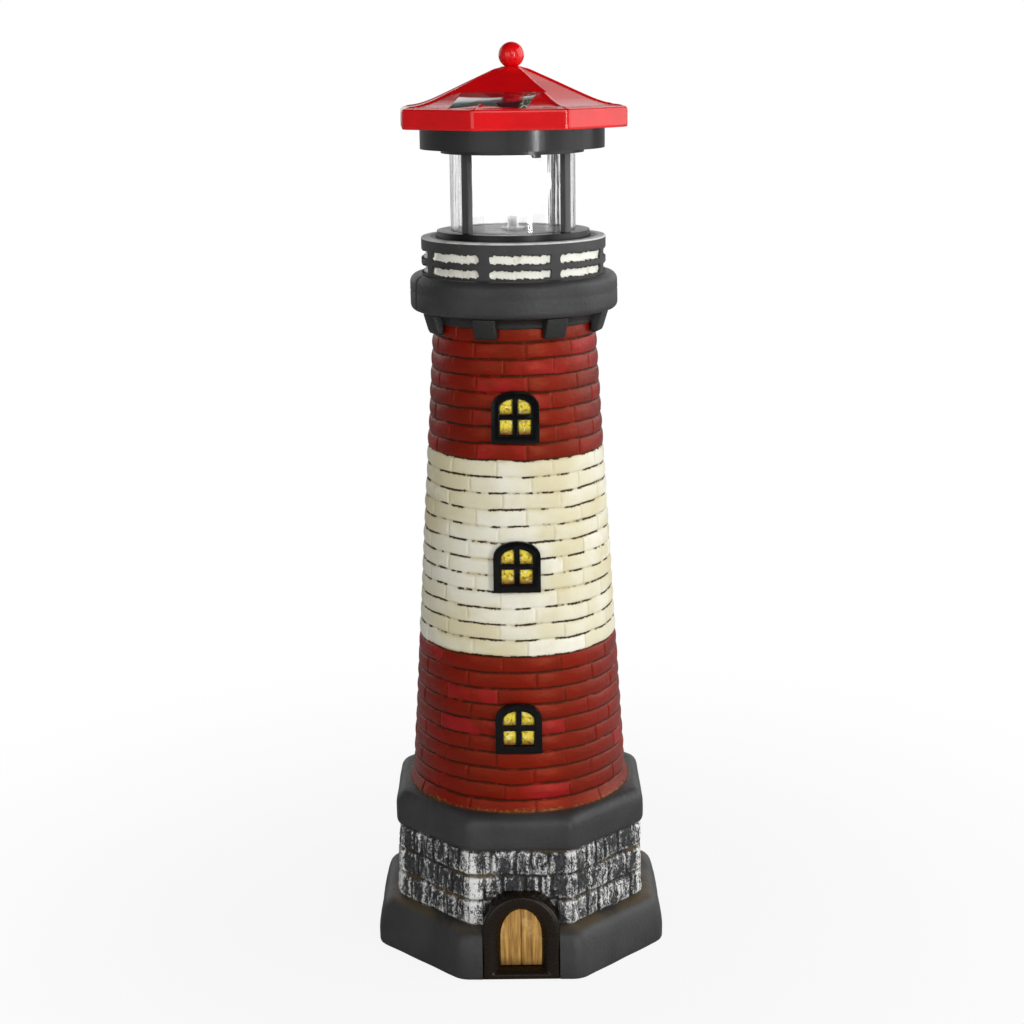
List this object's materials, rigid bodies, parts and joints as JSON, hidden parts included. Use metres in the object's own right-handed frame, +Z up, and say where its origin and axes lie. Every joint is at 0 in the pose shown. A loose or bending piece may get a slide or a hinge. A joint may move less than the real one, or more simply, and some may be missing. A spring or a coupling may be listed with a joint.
{
  "type": "garden lighthouse ornament",
  "caption": "Painted cast lighthouse with an octagonal stone plinth, a banded brick shaft, a gallery and a lift-off solar lamp head with a turning reflector.",
  "frame": {"origin": "middle of the footprint, on the ground", "axes": "+Z up, -Y towards the door and the windows"},
  "size_m": [0.12, 0.12, 0.37],
  "materials": {
    "cast_stone": "matte painted casting",
    "cast_brick": "satin painted casting, red with a cream band",
    "black_gloss": "gloss",
    "pane_yellow": "satin paint",
    "portal_brown": "gloss paint",
    "door_ochre": "painted planks",
    "black_plastic": "satin",
    "clear_plastic": "clear",
    "red_plastic": "gloss",
    "solar_cell": "gloss",
    "battery_sleeve": "gloss sleeve",
    "screw_steel": "zinc plated",
    "board_green": "lacquered",
    "white_plastic": "natural",
    "reflector_white": "gloss white",
    "lead_red": "satin"
  },
  "bodies": {
    "tower": {"plinth": "cast_stone", "shaft": "cast_brick", "gallery": "cast_stone", "window_frame_lower": "black_gloss", "window_frame_middle": "black_gloss", "window_frame_upper": "black_gloss", "window_panes_lower": "pane_yellow", "window_panes_middle": "pane_yellow", "window_panes_upper": "pane_yellow", "door_surround": "portal_brown", "door_leaf": "door_ochre"},
    "lamp_head": {"lamp_cage": "black_plastic", "base_cover": "black_plastic", "cover_screws": "screw_steel", "led_board": "board_green", "led_stem": "clear_plastic", "led": "clear_plastic", "clear_tube": "clear_plastic", "upper_housing": "black_plastic", "cage_screws": "screw_steel", "roof": "red_plastic", "roof_screws": "screw_steel", "ball_finial": "red_plastic", "solar_panel": "solar_cell", "battery": "battery_sleeve", "battery_spring": "screw_steel", "battery_contact": "screw_steel", "circuit_board": "board_green", "board_screws": "screw_steel", "gear_plate": "white_plastic", "plate_screws": "screw_steel", "motor": "screw_steel", "switch_body": "screw_steel", "solar_leads": "lead_red", "battery_leads": "lead_red", "motor_leads": "lead_red", "switch_leads": "lead_red", "led_leads": "lead_red"},
    "reflector": {"reflector_dish": "reflector_white", "reflector_shaft": "screw_steel", "output_gear": "white_plastic"},
    "idler": {"idler_gear": "white_plastic"},
    "pinion": {"motor_pinion": "screw_steel"},
    "switch": {"switch_knob": "black_plastic"}
  },
  "joints": [
    {"name": "lamp_lift", "type": "slide", "parent": "tower", "child": "lamp_head", "axis": [0, 0, 1], "range_m": [0, 0.012]},
    {"name": "reflector_spin", "type": "hinge", "parent": "lamp_head", "child": "reflector", "pos_m": [0, 0, 0.33], "axis": [0, 0, 1], "continuous": true},
    {"name": "idler_spin", "type": "hinge", "parent": "lamp_head", "child": "idler", "pos_m": [0.00899, -0.00438, 0.334], "axis": [0, 0, 1], "continuous": true},
    {"name": "pinion_spin", "type": "hinge", "parent": "lamp_head", "child": "pinion", "pos_m": [0.01764, -0.00686, 0.335], "axis": [0, 0, 1], "continuous": true},
    {"name": "switch_slide", "type": "slide", "parent": "lamp_head", "child": "switch", "axis": [0.9397, 0.342, 0], "range_m": [0, 0.002]}
  ],
  "couplings": [
    {"joint": "idler_spin", "follows": "reflector_spin", "ratio": -3},
    {"joint": "pinion_spin", "follows": "reflector_spin", "ratio": 10.5}
  ]
}
